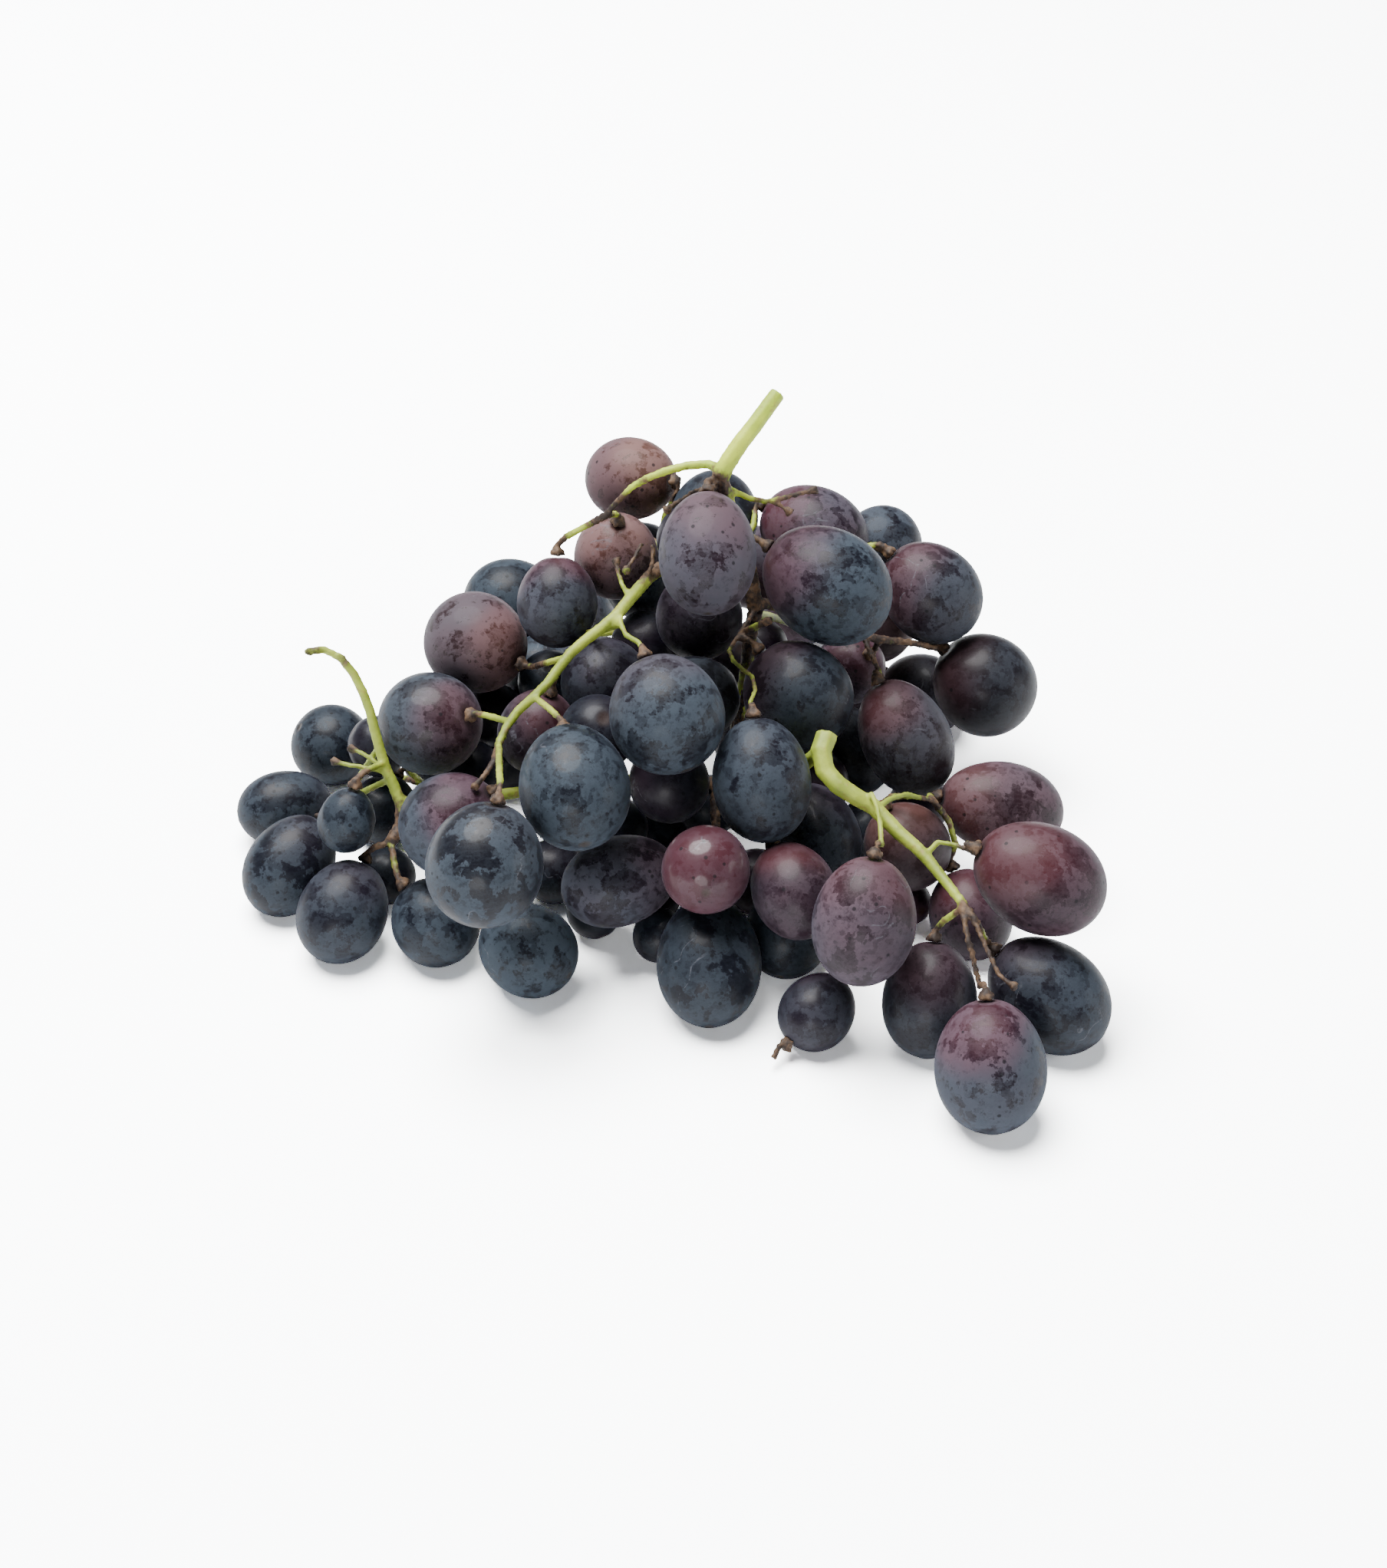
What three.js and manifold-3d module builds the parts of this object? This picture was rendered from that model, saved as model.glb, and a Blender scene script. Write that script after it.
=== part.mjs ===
// A bunch of dark table grapes, lying on a table as picked: one branching green stem and the grapes on it.
// Millimetres, +Z up, the table at Z = 0. The photograph looks from the -Y side, with +X to the right.
import * as THREE from "three";
import { mergeVertices } from "three/addons/utils/BufferGeometryUtils.js";
import Module from "manifold-3d";

const wasm = await Module();
wasm.setup();

// How the photograph looks at the bunch: its middle pixel, the point seen there, the distance and the slope
// downwards.
const PHOTO_MIDDLE = [904, 1022];
const PHOTO_AIM = new THREE.Vector3(0, 0, 30);
const PHOTO_DISTANCE = 640;
const PHOTO_SLOPE = THREE.MathUtils.degToRad(38);
const PHOTO_FOCAL_PIXELS = 3700;

// A grape: how much slimmer it is towards the stalk, how far the dimple there is sunk, and its facets.
const STALK_END_TAPER = 0.05;
const DIMPLE_SHARE = 0.05;
const GRAPE_SIDES = 12;
const GRAPE_RINGS = 6;

// Clearances between two grapes and between a grape and the stem, and how far a resting grape is flattened.
const GRAPE_GAP = 0.45;
const STEM_GAP = 0.3;
const TABLE_FLAT = 0.7;
const ABOVE_TABLE = 0.6;

// Stalks are thin, with a swollen knob where the grape sits.
const STALK_RADIUS = 0.9;
const KNOB_RADIUS = 2;
const KNOB_LENGTH = 2.2;
const BARE_KNOB_RADIUS = 1.2;
const STALK_SIDES = 5;
const TWIG_SIDES = 7;
const SEEN_TWIG_STEP = 4.5;
const INNER_TWIG_STEP = 9;
const STALK_STEP = 7;
const SEAT_GAP = 0.6;

const TABLE = "table";

// Every grape, by the part of the bunch that it hangs in. seen: the pixel of its middle. up: its height,
// or TABLE where it lies on the table. wide, long: its size. turn: where its stalk end points in the picture,
// in degrees clockwise from up, and nod: how far that end leans to the viewer. With no turn it points at its
// twig.
const GRAPES = {
  left: [
    { seen: [434, 972], up: TABLE, wide: 19.5, long: 20, turn: 120, nod: -30 },
    { seen: [372, 1053], up: TABLE, wide: 17.5, long: 22.5, turn: 80, nod: -10 },
    { seen: [452, 1069], up: 27, wide: 13, long: 15, turn: 15, nod: 15 },
    { seen: [500, 1055], up: TABLE, wide: 16, long: 17, turn: 20, nod: -20, hidden: true },
    { seen: [378, 1128], up: TABLE, wide: 19.5, long: 25, turn: 33, nod: -10 },
    { seen: [447, 1188], up: TABLE, wide: 20, long: 24, turn: 22, nod: -10 },
    { seen: [567, 1202], up: TABLE, wide: 19.5, long: 20.5, turn: -40, nod: 0 },
    { seen: [688, 1238], up: TABLE, wide: 20.5, long: 23, turn: -60, nod: -20 },
    { seen: [590, 1073], up: 30, wide: 23, long: 24, turn: 52, nod: 20, red: true },
    { seen: [632, 1127], up: 42, wide: 25, long: 27, turn: 12, nod: 10 },
    { seen: [563, 941], up: 36, wide: 23.5, long: 24.5, turn: 80, nod: 40 },
    { seen: [620, 840], up: 44, wide: 23.5, long: 24.5, turn: 115, nod: 25, red: true },
    { seen: [702, 952], up: 37, wide: 18, long: 20, turn: 20, nod: 30, red: true },
  ],
  crown: [
    { seen: [823, 624], up: 60, wide: 20, long: 23, turn: 97, nod: 30, red: true },
    { seen: [803, 733], up: 56, wide: 19.5, long: 21, turn: 5, nod: 50, red: true },
    { seen: [740, 792], up: 55, wide: 18.5, long: 21, turn: 0, nod: 5, red: true },
    { seen: [668, 788], up: 34, wide: 22, long: 24, turn: 90, nod: -20 },
    { seen: [785, 880], up: 44, wide: 20.5, long: 21.5, turn: -30, nod: 0 },
    { seen: [850, 770], up: 46, wide: 17, long: 18, turn: 0, nod: 0 },
    { seen: [924, 716], up: 80, wide: 21.5, long: 28, turn: 0, nod: -14 },
    { seen: [938, 673], up: 57, wide: 21, long: 22, turn: 10, nod: 10 },
    { seen: [912, 806], up: 53, wide: 20, long: 21, turn: 0, nod: -30 },
    { seen: [1074, 772], up: 64, wide: 25.5, long: 31, turn: -56, nod: -8 },
    { seen: [1060, 697], up: 56, wide: 22.5, long: 27, turn: -60, nod: -8, red: true },
    { seen: [1148, 712], up: 44, wide: 19.5, long: 20, turn: -100, nod: 0 },
  ],
  middle: [
    { seen: [865, 933], up: 58, wide: 25, long: 26.5, turn: -20, nod: -10 },
    { seen: [752, 1023], up: 48, wide: 24, long: 28.5, turn: -12, nod: -28 },
    { seen: [902, 905], up: 42, wide: 20, long: 21.5, turn: 75, nod: 0 },
    { seen: [872, 1018], up: 34, wide: 18, long: 19, turn: -10, nod: 0, hidden: true },
    { seen: [1040, 897], up: 46, wide: 24.5, long: 26, turn: -40, nod: 0 },
    { seen: [995, 1024], up: 44, wide: 21.5, long: 27.5, turn: -7, nod: 0 },
    { seen: [920, 1134], up: 34, wide: 19, long: 19.5, turn: 0, nod: -60, red: true },
    { seen: [926, 1252], up: TABLE, wide: 23, long: 29, turn: 0, nod: -15 },
    { seen: [808, 1148], up: 21, wide: 20, long: 26.5, turn: 73, nod: -10 },
  ],
  right: [
    { seen: [1213, 772], up: 48, wide: 22.5, long: 26, turn: -47, nod: 10 },
    { seen: [1143, 812], up: 32, wide: 19, long: 19.5, turn: 60, nod: 20, red: true },
    { seen: [1283, 892], up: 27, wide: 24, long: 25.5, turn: -50, nod: 15 },
    { seen: [1203, 905], up: TABLE, wide: 20, long: 22, turn: -60, nod: -20 },
    { seen: [1180, 968], up: 30, wide: 20.5, long: 28.5, turn: -27, nod: 12, red: true },
    { seen: [1112, 976], up: 24, wide: 19.5, long: 23, turn: -40, nod: 0 },
    { seen: [1068, 1090], up: 24, wide: 19.5, long: 24.5, turn: -20, nod: -10 },
    { seen: [1038, 1155], up: 30, wide: 18.5, long: 22.5, turn: -25, nod: -25, red: true },
    { seen: [1025, 1215], up: TABLE, wide: 19, long: 21.5, turn: 10, nod: -20 },
    { seen: [1121, 1199], up: 31, wide: 22, long: 28, turn: 8, nod: 12, red: true },
    { seen: [1187, 1112], up: 20, wide: 19.5, long: 20.5, turn: -30, nod: 20, red: true },
    { seen: [1255, 1187], up: TABLE, wide: 18.5, long: 21, turn: -20, nod: -10, red: true },
    { seen: [1297, 1047], up: 22, wide: 21, long: 29, turn: -80, nod: 10, red: true },
    { seen: [1354, 1144], up: 34, wide: 23.5, long: 30, turn: -65, nod: 10, red: true },
    { seen: [1212, 1303], up: TABLE, wide: 20.5, long: 25.5, turn: 4, nod: 5 },
    { seen: [1367, 1297], up: TABLE, wide: 23, long: 29, turn: -50, nod: 0 },
    { seen: [1291, 1390], up: TABLE, wide: 23.5, long: 28.5, turn: -4, nod: 5 },
  ],
  back: [
    { seen: [704, 874], up: 26, wide: 19, long: 20 },
    { seen: [748, 800], up: TABLE, wide: 21, long: 23 },
    { seen: [835, 740], up: 34, wide: 21, long: 23 },
    { seen: [980, 740], up: 34, wide: 20, long: 22 },
    { seen: [1040, 790], up: TABLE, wide: 21, long: 23 },
    { seen: [1110, 868], up: 30, wide: 17, long: 18 },
  ],
  fallen: [{ seen: [1064, 1320], up: TABLE, wide: 16, long: 18, turn: 222, nod: 15 }],
};

// The stem. seen: pixels across and down, with the height there; at: points in the bunch that nothing shows,
// in millimetres. thick: the radius at each end. Each twig starts on one above it in this list, unless it is
// loose, and a bridge ends on one too. bare: a twig whose grape has dropped off and left its knob.
const TWIGS = [
  {
    seen: [[1014, 512, 106], [985, 552, 101], [956, 590, 96], [938, 622, 91]],
    thick: [1.9, 2.2],
    loose: true,
  },
  {
    seen: [[938, 618, 92], [950, 665, 82], [966, 700, 70], [978, 750, 62], [985, 795, 54]],
    thick: [2.1, 1.9],
  },
  {
    at: [[13, 32, 54], [13, 37, 44], [12, 33, 34], [9, 18, 28], [5, 1, 29], [5, -10, 26], [6, -20, 20]],
    thick: [1.9, 1],
  },
  {
    seen: [
      [934, 610, 92], [915, 604, 92], [880, 611, 91], [858, 617, 90], [822, 636, 86],
      [804, 655, 82], [789, 672, 79],
    ],
    thick: [1.2, 0.7],
  },
  {
    seen: [[942, 622, 89], [975, 649, 84], [1000, 654, 83], [1035, 645, 83], [1065, 638, 83]],
    thick: [0.9, 0.6],
    bare: true,
  },
  { seen: [[1000, 653, 83], [1018, 659, 82], [1032, 669, 81]], thick: [0.6, 0.6], bare: true },
  { seen: [[936, 626, 89], [905, 641, 85], [882, 655, 83], [866, 667, 82]], thick: [0.7, 0.6], bare: true },
  {
    seen: [
      [966, 705, 68], [912, 724, 65], [862, 740, 66], [826, 775, 66], [800, 806, 63],
      [745, 850, 58], [712, 893, 54], [668, 935, 49], [650, 970, 46],
    ],
    thick: [1.9, 1],
  },
  { seen: [[650, 970, 46], [640, 1000, 43], [617, 1028, 41]], thick: [0.9, 0.7], bare: true },
  { seen: [[820, 780, 66], [808, 755, 68], [803, 728, 70]], thick: [0.7, 0.6], bare: true },
  {
    seen: [[842, 756, 67], [855, 720, 72], [844, 702, 74], [826, 728, 73], [815, 746, 72]],
    thick: [0.7, 0.5],
    bare: true,
  },
  { seen: [[806, 798, 64], [813, 825, 63], [832, 837, 63], [840, 850, 63]], thick: [0.8, 0.7] },
  {
    seen: [
      [398, 850, 57], [425, 847, 56], [447, 860, 54], [462, 880, 51], [480, 920, 45],
      [492, 965, 38], [503, 1003, 32], [522, 1045, 26], [523, 1075, 22], [510, 1097, 20],
    ],
    thick: [0.9, 1.6],
    loose: true,
  },
  { at: [[-66, -1, 26], [-45, 6, 22], [-22, 9, 24], [5, 1, 29]], thick: [1.4, 1.5], bridge: true },
  { seen: [[503, 1003, 32], [478, 985, 33], [455, 975, 33]], thick: [0.7, 0.6], bare: true },
  { seen: [[500, 1003, 32], [465, 999, 33], [432, 992, 33]], thick: [0.7, 0.6], bare: true },
  {
    seen: [
      [1078, 958, 50], [1070, 984, 48], [1078, 1010, 45], [1104, 1032, 43], [1140, 1053, 40],
      [1165, 1080, 38], [1200, 1110, 36], [1225, 1140, 34], [1245, 1165, 33], [1272, 1200, 31],
    ],
    thick: [2.6, 0.9],
    loose: true,
  },
  { at: [[29, -10, 46], [22, -6, 38], [14, -3, 32], [5, 1, 29]], thick: [1.7, 1.5], bridge: true },
  {
    seen: [[1268, 1195, 31], [1288, 1240, 28], [1300, 1268, 26], [1325, 1288, 25]],
    thick: [0.7, 0.6],
    bare: true,
  },
  { seen: [[1252, 1174, 33], [1262, 1225, 29], [1270, 1255, 25], [1277, 1285, 21]], thick: [0.8, 0.7] },
  { seen: [[1148, 1052, 40], [1172, 1036, 39], [1200, 1040, 36], [1216, 1043, 33]], thick: [0.8, 0.7] },
  { seen: [[1122, 1040, 41], [1130, 1028, 43], [1145, 1058, 43], [1149, 1100, 41]], thick: [0.7, 0.7] },
  { seen: [[1205, 1112, 36], [1226, 1096, 38], [1250, 1104, 39], [1266, 1108, 39]], thick: [0.8, 0.7] },
  {
    seen: [
      [984, 800, 54], [962, 830, 54], [950, 850, 54], [962, 868, 54], [983, 885, 55],
      [984, 905, 54], [977, 918, 54], [980, 930, 54],
    ],
    thick: [0.7, 0.6],
  },
  { seen: [[966, 826, 54], [985, 816, 58], [1006, 808, 60]], thick: [0.8, 0.9], bare: true },
  {
    seen: [
      [984, 790, 55], [1020, 792, 52], [1060, 805, 47], [1125, 830, 45], [1190, 838, 41],
      [1222, 846, 39],
    ],
    thick: [1.4, 0.8],
  },
  { seen: [[1076, 812, 47], [1100, 760, 52], [1128, 712, 57], [1150, 718, 57]], thick: [0.8, 0.7] },
  { seen: [[1125, 830, 45], [1140, 862, 44], [1150, 884, 43]], thick: [0.8, 0.7] },
  { at: [[11, 40, 64], [4, 47, 50], [-6, 58, 38], [-14, 62, 30], [-28, 66, 24]], thick: [1.3, 0.9] },
  { at: [[13, 34, 52], [18, 52, 40], [24, 66, 28]], thick: [1.2, 0.9] },
];
const FALLEN_STALK = { seen: [[1008, 1380, 3], [1018, 1362, 4.2]], thick: [0.7, 0.7] };

// The point at a given height on the line of sight through a pixel.
const towards = new THREE.Vector3(0, Math.cos(PHOTO_SLOPE), -Math.sin(PHOTO_SLOPE));
const rightwards = new THREE.Vector3(1, 0, 0);
const upwards = new THREE.Vector3(0, Math.sin(PHOTO_SLOPE), Math.cos(PHOTO_SLOPE));
const eye = PHOTO_AIM.clone().addScaledVector(towards, -PHOTO_DISTANCE);

function pointSeen([across, down], height) {
  const line = towards
    .clone()
    .addScaledVector(rightwards, (across - PHOTO_MIDDLE[0]) / PHOTO_FOCAL_PIXELS)
    .addScaledVector(upwards, (PHOTO_MIDDLE[1] - down) / PHOTO_FOCAL_PIXELS);
  return eye.clone().addScaledVector(line, (height - eye.z) / line.z);
}

function stalkDirection(turn, nod) {
  const around = THREE.MathUtils.degToRad(turn);
  const lean = THREE.MathUtils.degToRad(nod);
  return new THREE.Vector3()
    .addScaledVector(rightwards, Math.sin(around) * Math.cos(lean))
    .addScaledVector(upwards, Math.cos(around) * Math.cos(lean))
    .addScaledVector(towards, -Math.sin(lean));
}

function twigPoints({ seen, at }) {
  if (at) return at.map((point) => new THREE.Vector3(...point));
  return seen.map(([across, down, up]) => pointSeen([across, down], up));
}

function radiusAlong({ thick: [start, end] }, share) {
  return start + (end - start) * share;
}

// Where a stalk or twig may start: every couple of millimetres along a twig.
const STATION_STEP = 2;
function stationsOf(twig) {
  const count = Math.ceil(twig.curve.getLength() / STATION_STEP);
  return Array.from({ length: count + 1 }, (_, index) => ({
    point: twig.curve.getPointAt(index / count),
    radius: radiusAlong(twig, index / count),
    bare: twig.bare,
  }));
}

function nearestStation(among, point) {
  const distance = (station) => station.point.distanceTo(point);
  return among.reduce((best, next) => (distance(next) < distance(best) ? next : best));
}

const twigs = [];
const stations = [];
for (const row of TWIGS) {
  const points = twigPoints(row);
  const last = points.length - 1;
  if (!row.loose) points[0] = nearestStation(stations, points[0]).point;
  if (row.bridge) points[last] = nearestStation(stations, points[last]).point;
  const twig = { ...row, curve: new THREE.CatmullRomCurve3(points, false, "centripetal") };
  twigs.push(twig);
  stations.push(...stationsOf(twig));
}

// A grape is worked out as an egg round, with half its width and half its length: its reach is how far it
// extends from its middle in a direction, and its skin gap is how far a point is outside it.
function reach(grape, direction) {
  const along = grape.axis.dot(direction);
  return Math.sqrt(grape.half ** 2 * (1 - along * along) + grape.halfLong ** 2 * along * along);
}

function reachPoint(grape, direction) {
  const along = grape.axis.dot(direction);
  const flat = direction.clone().addScaledVector(grape.axis, -along);
  return flat
    .multiplyScalar(grape.half ** 2)
    .addScaledVector(grape.axis, along * grape.halfLong ** 2)
    .divideScalar(reach(grape, direction));
}

function skinGap(grape, point) {
  const from = point.clone().sub(grape.middle);
  const along = from.dot(grape.axis);
  const across = Math.sqrt(Math.max(from.lengthSq() - along * along, 0));
  const share = Math.hypot(across / grape.half, along / grape.halfLong);
  return from.length() * (1 - 1 / Math.max(share, 0.05));
}

// The direction that parts two grapes best, and the gap along it, which is negative where they overlap.
const PARTING_STEPS = 6;
function parting(one, other) {
  const apart = other.middle.clone().sub(one.middle);
  const direction = apart.clone().normalize();
  for (let step = 0; step < PARTING_STEPS; step++) {
    const slide = apart.clone().sub(reachPoint(one, direction)).sub(reachPoint(other, direction));
    slide.addScaledVector(direction, -slide.dot(direction));
    direction.addScaledVector(slide, 0.8 / apart.length()).normalize();
  }
  return { direction, gap: apart.dot(direction) - reach(one, direction) - reach(other, direction) };
}

const DOWN = new THREE.Vector3(0, 0, -1);

function plantGrape(row, group, index) {
  const resting = row.up === TABLE;
  const grape = {
    name: `grape_${group}_${String(index + 1).padStart(2, "0")}`,
    red: row.red,
    resting,
    hidden: group === "back" || row.hidden,
    fallen: group === "fallen",
    half: row.wide / 2,
    halfLong: row.long / 2,
  };
  const home = (height) => pointSeen(row.seen, height);
  grape.middle = home(resting ? grape.half : row.up);
  if (row.turn === undefined) {
    grape.axis = nearestStation(stations, grape.middle).point.clone().sub(grape.middle).normalize();
  } else {
    grape.axis = stalkDirection(row.turn, row.nod);
  }
  if (resting) grape.middle = home(reach(grape, DOWN) - TABLE_FLAT);
  grape.home = grape.middle.clone();
  grape.sight = grape.home.clone().sub(eye).normalize();
  return grape;
}

const grapes = Object.entries(GRAPES).flatMap(([group, rows]) =>
  rows.map((row, index) => plantGrape(row, group, index)),
);

// Grapes press each other and the twigs apart, while each is drawn back to where the photograph shows it.
const SETTLING_ROUNDS = 400;
const PULL_ROUNDS = 300;
const PULL = 0.06;
const PULL_IN_DEPTH = 0.02;

function push(grape, direction, distance) {
  grape.middle.addScaledVector(direction, distance);
  const lowest = reach(grape, DOWN) + (grape.resting ? -TABLE_FLAT : ABOVE_TABLE);
  grape.middle.z = grape.resting ? lowest : Math.max(grape.middle.z, lowest);
}

for (let round = 0; round < SETTLING_ROUNDS; round++) {
  for (const grape of grapes) {
    if (round < PULL_ROUNDS) {
      const back = grape.home.clone().sub(grape.middle);
      const deep = back.dot(grape.sight);
      back.addScaledVector(grape.sight, -deep);
      grape.middle.addScaledVector(back, PULL).addScaledVector(grape.sight, deep * PULL_IN_DEPTH);
    }
    for (const { point, radius } of stations) {
      const short = radius + STEM_GAP - skinGap(grape, point);
      if (short > 0 && !grape.fallen) push(grape, grape.middle.clone().sub(point).normalize(), short * 0.5);
    }
    push(grape, DOWN, 0);
  }
  grapes.forEach((one, index) => {
    for (const other of grapes.slice(index + 1)) {
      if (one.middle.distanceTo(other.middle) > one.halfLong + other.halfLong + GRAPE_GAP) continue;
      const { direction, gap } = parting(one, other);
      const short = GRAPE_GAP - gap;
      if (short <= 0) continue;
      const share = one.hidden === other.hidden ? 0.5 : one.hidden ? 0.85 : 0.15;
      push(one, direction, -short * share);
      push(other, direction, short * (1 - share));
    }
  });
}

// Solids: a closed three.js geometry made into a solid, and a solid made into a mesh.
function solid(geometry) {
  geometry.deleteAttribute("normal");
  geometry.deleteAttribute("uv");
  const merged = mergeVertices(geometry, 1e-4);
  const vertProperties = new Float32Array(merged.attributes.position.array);
  const triVerts = new Uint32Array(merged.index.array);
  return new wasm.Manifold(new wasm.Mesh({ numProp: 3, vertProperties, triVerts }));
}

function namedMesh(body, name, material) {
  const { vertProperties, triVerts } = body.getMesh();
  const geometry = new THREE.BufferGeometry();
  geometry.setAttribute("position", new THREE.BufferAttribute(new Float32Array(vertProperties), 3));
  geometry.setIndex(new THREE.BufferAttribute(new Uint32Array(triVerts), 1));
  const mesh = new THREE.Mesh(geometry, material);
  mesh.name = name;
  return mesh;
}

// A grape's skin, turned round its long axis: an egg round a little slimmer at the stalk end, with a dimple.
const LATHE_AXIS = new THREE.Vector3(0, 1, 0);
function grapeSolid(grape, swell) {
  const half = grape.half + swell;
  const halfLong = grape.halfLong + swell;
  const profile = [new THREE.Vector2(0, -halfLong)];
  for (let ring = 1; ring <= GRAPE_RINGS; ring++) {
    const angle = -Math.PI / 2 + (Math.PI * ring) / (GRAPE_RINGS + 1);
    const height = Math.sin(angle);
    const radius = half * Math.cos(angle) * (1 - STALK_END_TAPER * height);
    profile.push(new THREE.Vector2(radius, halfLong * height));
  }
  profile.push(new THREE.Vector2(0, halfLong * (1 - DIMPLE_SHARE)));
  const geometry = new THREE.LatheGeometry(profile, GRAPE_SIDES);
  geometry.applyQuaternion(new THREE.Quaternion().setFromUnitVectors(LATHE_AXIS, grape.axis));
  geometry.translate(grape.middle.x, grape.middle.y, grape.middle.z);
  return solid(geometry);
}

// A round rod swept along a curve: rows hold the share of the way along and the radius there.
function rod(curve, rows, sides) {
  const geometry = new THREE.CylinderGeometry(1, 1, 1, sides, rows.length - 1);
  let normal = new THREE.Vector3(0.31, 0.17, 0.93);
  const frames = rows.map(([share, radius]) => {
    const tangent = curve.getTangentAt(share);
    normal = normal.clone().addScaledVector(tangent, -normal.dot(tangent)).normalize();
    return { centre: curve.getPointAt(share), radius, normal, binormal: tangent.clone().cross(normal) };
  });
  const position = geometry.attributes.position;
  const corner = new THREE.Vector3();
  for (let index = 0; index < position.count; index++) {
    corner.fromBufferAttribute(position, index);
    const frame = frames[Math.round((0.5 - corner.y) * (rows.length - 1))];
    const placed = frame.centre
      .clone()
      .addScaledVector(frame.normal, corner.x * frame.radius)
      .addScaledVector(frame.binormal, corner.z * frame.radius);
    position.setXYZ(index, placed.x, placed.y, placed.z);
  }
  return solid(geometry);
}

function evenRows(curve, step, radiusAt) {
  const count = Math.max(2, Math.round(curve.getLength() / step));
  return Array.from({ length: count + 1 }, (_, index) => [index / count, radiusAt(index / count)]);
}

// The swelling at the end of a stalk replaces the rows in its last stretch.
function withKnob(rows, length, radius) {
  const start = 1 - KNOB_LENGTH / length;
  const stem = rows.filter(([share]) => share < start - 0.1);
  const full = 1 - (0.4 * KNOB_LENGTH) / length;
  return [...stem, [start, stem[stem.length - 1][1]], [full, radius], [1, radius]];
}

function twigSolid(twig) {
  const step = twig.seen ? SEEN_TWIG_STEP : INNER_TWIG_STEP;
  const rows = evenRows(twig.curve, step, (share) => radiusAlong(twig, share));
  const sides = Math.max(...twig.thick) > 1.1 ? TWIG_SIDES : STALK_SIDES;
  const knobbed = twig.bare ? withKnob(rows, twig.curve.getLength(), BARE_KNOB_RADIUS) : rows;
  return rod(twig.curve, knobbed, sides);
}

// Where a stalk sits in its grape's dimple.
function seatOf(grape) {
  return grape.middle.clone().addScaledVector(grape.axis, grape.halfLong * (1 - DIMPLE_SHARE) + SEAT_GAP);
}

// A stalk from a station of the stem to its seat, bent clear of the other grapes like a taut elastic band.
const BAND_POINTS = 8;
const BAND_ROUNDS = 60;
const STALK_CLEARANCE = STALK_RADIUS + STEM_GAP + 0.15;
const STATIONS_TRIED = 10;

function band(grape, station) {
  const seat = seatOf(grape);
  const neck = seat.clone().addScaledVector(grape.axis, KNOB_LENGTH + 1);
  const free = BAND_POINTS - 2;
  const straight = (_, index) => station.point.clone().lerp(neck, index / (free - 1));
  const points = Array.from({ length: free }, straight);
  let tight = 0;
  for (let round = 0; round < BAND_ROUNDS; round++) {
    tight = 0;
    for (let index = 1; index < free - 1; index++) {
      const point = points[index];
      point.lerp(points[index - 1].clone().lerp(points[index + 1], 0.5), 0.4);
      for (const other of grapes) {
        const short = STALK_CLEARANCE - skinGap(other, point);
        if (short <= 0) continue;
        point.addScaledVector(point.clone().sub(other.middle).normalize(), short);
        tight = Math.max(tight, short);
      }
    }
  }
  const curve = new THREE.CatmullRomCurve3([...points, seat], false, "centripetal");
  for (let share = 0.1; share < 0.8; share += 0.05) {
    const point = curve.getPointAt(share);
    for (const other of grapes) tight = Math.max(tight, STALK_RADIUS + STEM_GAP - skinGap(other, point));
  }
  return { curve, tight };
}

const BLOCKED_COST = 40;
function stalkSolid(grape) {
  const tip = grape.middle.clone().addScaledVector(grape.axis, grape.halfLong + KNOB_LENGTH);
  const nearest = stations
    .filter((station) => !station.bare)
    .sort((one, other) => one.point.distanceTo(tip) - other.point.distanceTo(tip))
    .filter((_, index) => index % 2 === 0)
    .slice(0, STATIONS_TRIED);
  const tried = nearest.map((station) => {
    const { curve, tight } = band(grape, station);
    return { curve, cost: curve.getLength() + BLOCKED_COST * Math.max(tight, 0) };
  });
  const { curve } = tried.reduce((best, next) => (next.cost < best.cost ? next : best));
  const rows = evenRows(curve, STALK_STEP, () => STALK_RADIUS);
  return rod(curve, withKnob(rows, curve.getLength(), KNOB_RADIUS), STALK_SIDES);
}

const growing = grapes.filter((grape) => !grape.fallen);
const wood = [...twigs.map(twigSolid), ...growing.map(stalkSolid)];
const cleared = wood.reduce((whole, piece) => whole.add(piece));
const carved = growing.reduce((whole, grape) => whole.subtract(grapeSolid(grape, STEM_GAP)), cleared);
const stem = carved.decompose().reduce((best, piece) => (piece.volume() > best.volume() ? piece : best));

// The stalk of the fallen grape, which lies on the table with it.
const [fallen] = grapes.filter((grape) => grape.fallen);
const fallenPoints = FALLEN_STALK.seen.map(([across, down, up]) => pointSeen([across, down], up));
const fallenCurve = new THREE.CatmullRomCurve3([...fallenPoints, seatOf(fallen)], false, "centripetal");
const fallenRows = evenRows(fallenCurve, STALK_STEP, (share) => radiusAlong(FALLEN_STALK, share));
const fallenKnobbed = withKnob(fallenRows, fallenCurve.getLength(), KNOB_RADIUS);
const fallenStalk = rod(fallenCurve, fallenKnobbed, STALK_SIDES).subtract(grapeSolid(fallen, STEM_GAP));

// A resting grape is cut flat where it meets the table.
const tableBlock = new THREE.BoxGeometry(400, 400, 40);
tableBlock.translate(0, 0, -20);
const table = solid(tableBlock);

const darkSkin = new THREE.MeshStandardMaterial({ color: 0x34344a, roughness: 0.45, metalness: 0 });
const redSkin = new THREE.MeshStandardMaterial({ color: 0x6a2f38, roughness: 0.4, metalness: 0 });
const greenWood = new THREE.MeshStandardMaterial({ color: 0xa7ab6c, roughness: 0.7, metalness: 0 });

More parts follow.
